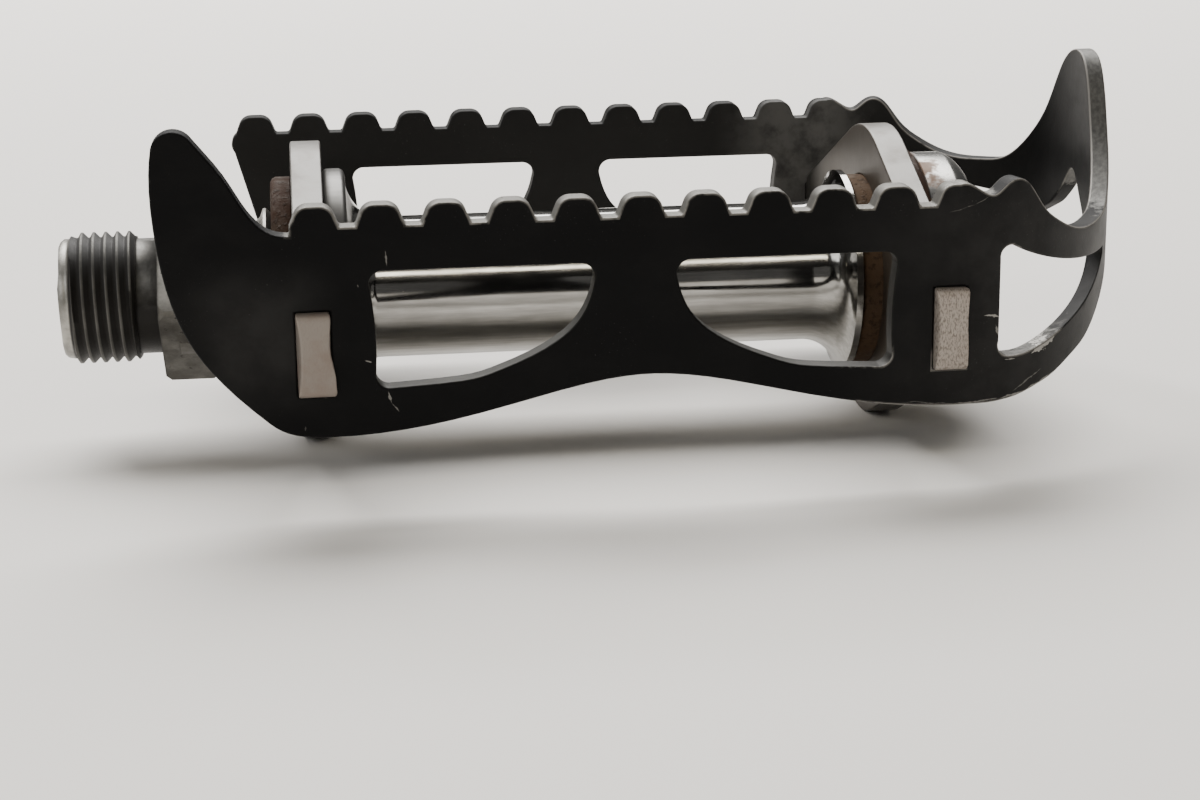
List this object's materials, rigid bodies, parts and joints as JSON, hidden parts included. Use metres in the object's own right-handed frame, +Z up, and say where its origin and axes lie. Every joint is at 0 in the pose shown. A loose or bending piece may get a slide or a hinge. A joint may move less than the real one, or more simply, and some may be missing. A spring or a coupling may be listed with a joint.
{
  "type": "quill pedal",
  "caption": "Bicycle quill pedal: toothed black cage with a horned loop, grey cross plates, chromed barrel and dust cap, turning on a threaded spindle.",
  "frame": {"origin": "on the spindle's axis, in the plane of the shoulder that seats on the crank arm", "axes": "+X along the spindle away from the crank, +Z up on the toothed side, +Y towards the far cage plate"},
  "size_m": [0.115, 0.066, 0.0404],
  "materials": {
    "cage_black": "black anodised, bare worn edges",
    "plate_grey": "matt blasted",
    "barrel_chrome": "polished, a few rust specks",
    "cap_chrome": "polished, brown staining",
    "ring_rusty": "dull, rusty",
    "cup_rusty": "dull, rusty outside",
    "bearing_steel": "ground and greased",
    "ball_steel": "polished",
    "spindle_steel": "worn plating, greasy thread"
  },
  "bodies": {
    "spindle": {"spindle": "spindle_steel", "adjusting_cone": "bearing_steel", "lock_washer": "bearing_steel", "lock_nut": "bearing_steel"},
    "pedal_body": {"cage": "cage_black", "inboard_cross_plate": "plate_grey", "outboard_cross_plate": "plate_grey", "barrel": "barrel_chrome", "inboard_cup": "bearing_steel", "outboard_cup": "cup_rusty", "inboard_dust_ring": "ring_rusty", "outboard_ring": "ring_rusty", "dust_cap": "cap_chrome"},
    "inboard_balls": {"inboard_ball_01": "ball_steel", "inboard_ball_02": "ball_steel", "inboard_ball_03": "ball_steel", "inboard_ball_04": "ball_steel", "inboard_ball_05": "ball_steel", "inboard_ball_06": "ball_steel", "inboard_ball_07": "ball_steel", "inboard_ball_08": "ball_steel", "inboard_ball_09": "ball_steel", "inboard_ball_10": "ball_steel", "inboard_ball_11": "ball_steel"},
    "outboard_balls": {"outboard_ball_01": "ball_steel", "outboard_ball_02": "ball_steel", "outboard_ball_03": "ball_steel", "outboard_ball_04": "ball_steel", "outboard_ball_05": "ball_steel", "outboard_ball_06": "ball_steel", "outboard_ball_07": "ball_steel", "outboard_ball_08": "ball_steel", "outboard_ball_09": "ball_steel", "outboard_ball_10": "ball_steel", "outboard_ball_11": "ball_steel"}
  },
  "joints": [
    {"name": "pedal_spin", "type": "hinge", "parent": "spindle", "child": "pedal_body", "pos_m": [0, 0, 0], "axis": [1, 0, 0], "continuous": true},
    {"name": "inboard_balls_orbit", "type": "hinge", "parent": "spindle", "child": "inboard_balls", "pos_m": [0.01612, 0, 0], "axis": [1, 0, 0], "continuous": true},
    {"name": "outboard_balls_orbit", "type": "hinge", "parent": "spindle", "child": "outboard_balls", "pos_m": [0.07873, 0, 0], "axis": [1, 0, 0], "continuous": true}
  ],
  "couplings": [
    {"joint": "inboard_balls_orbit", "follows": "pedal_spin", "ratio": 0.5923},
    {"joint": "outboard_balls_orbit", "follows": "pedal_spin", "ratio": 0.5923}
  ]
}
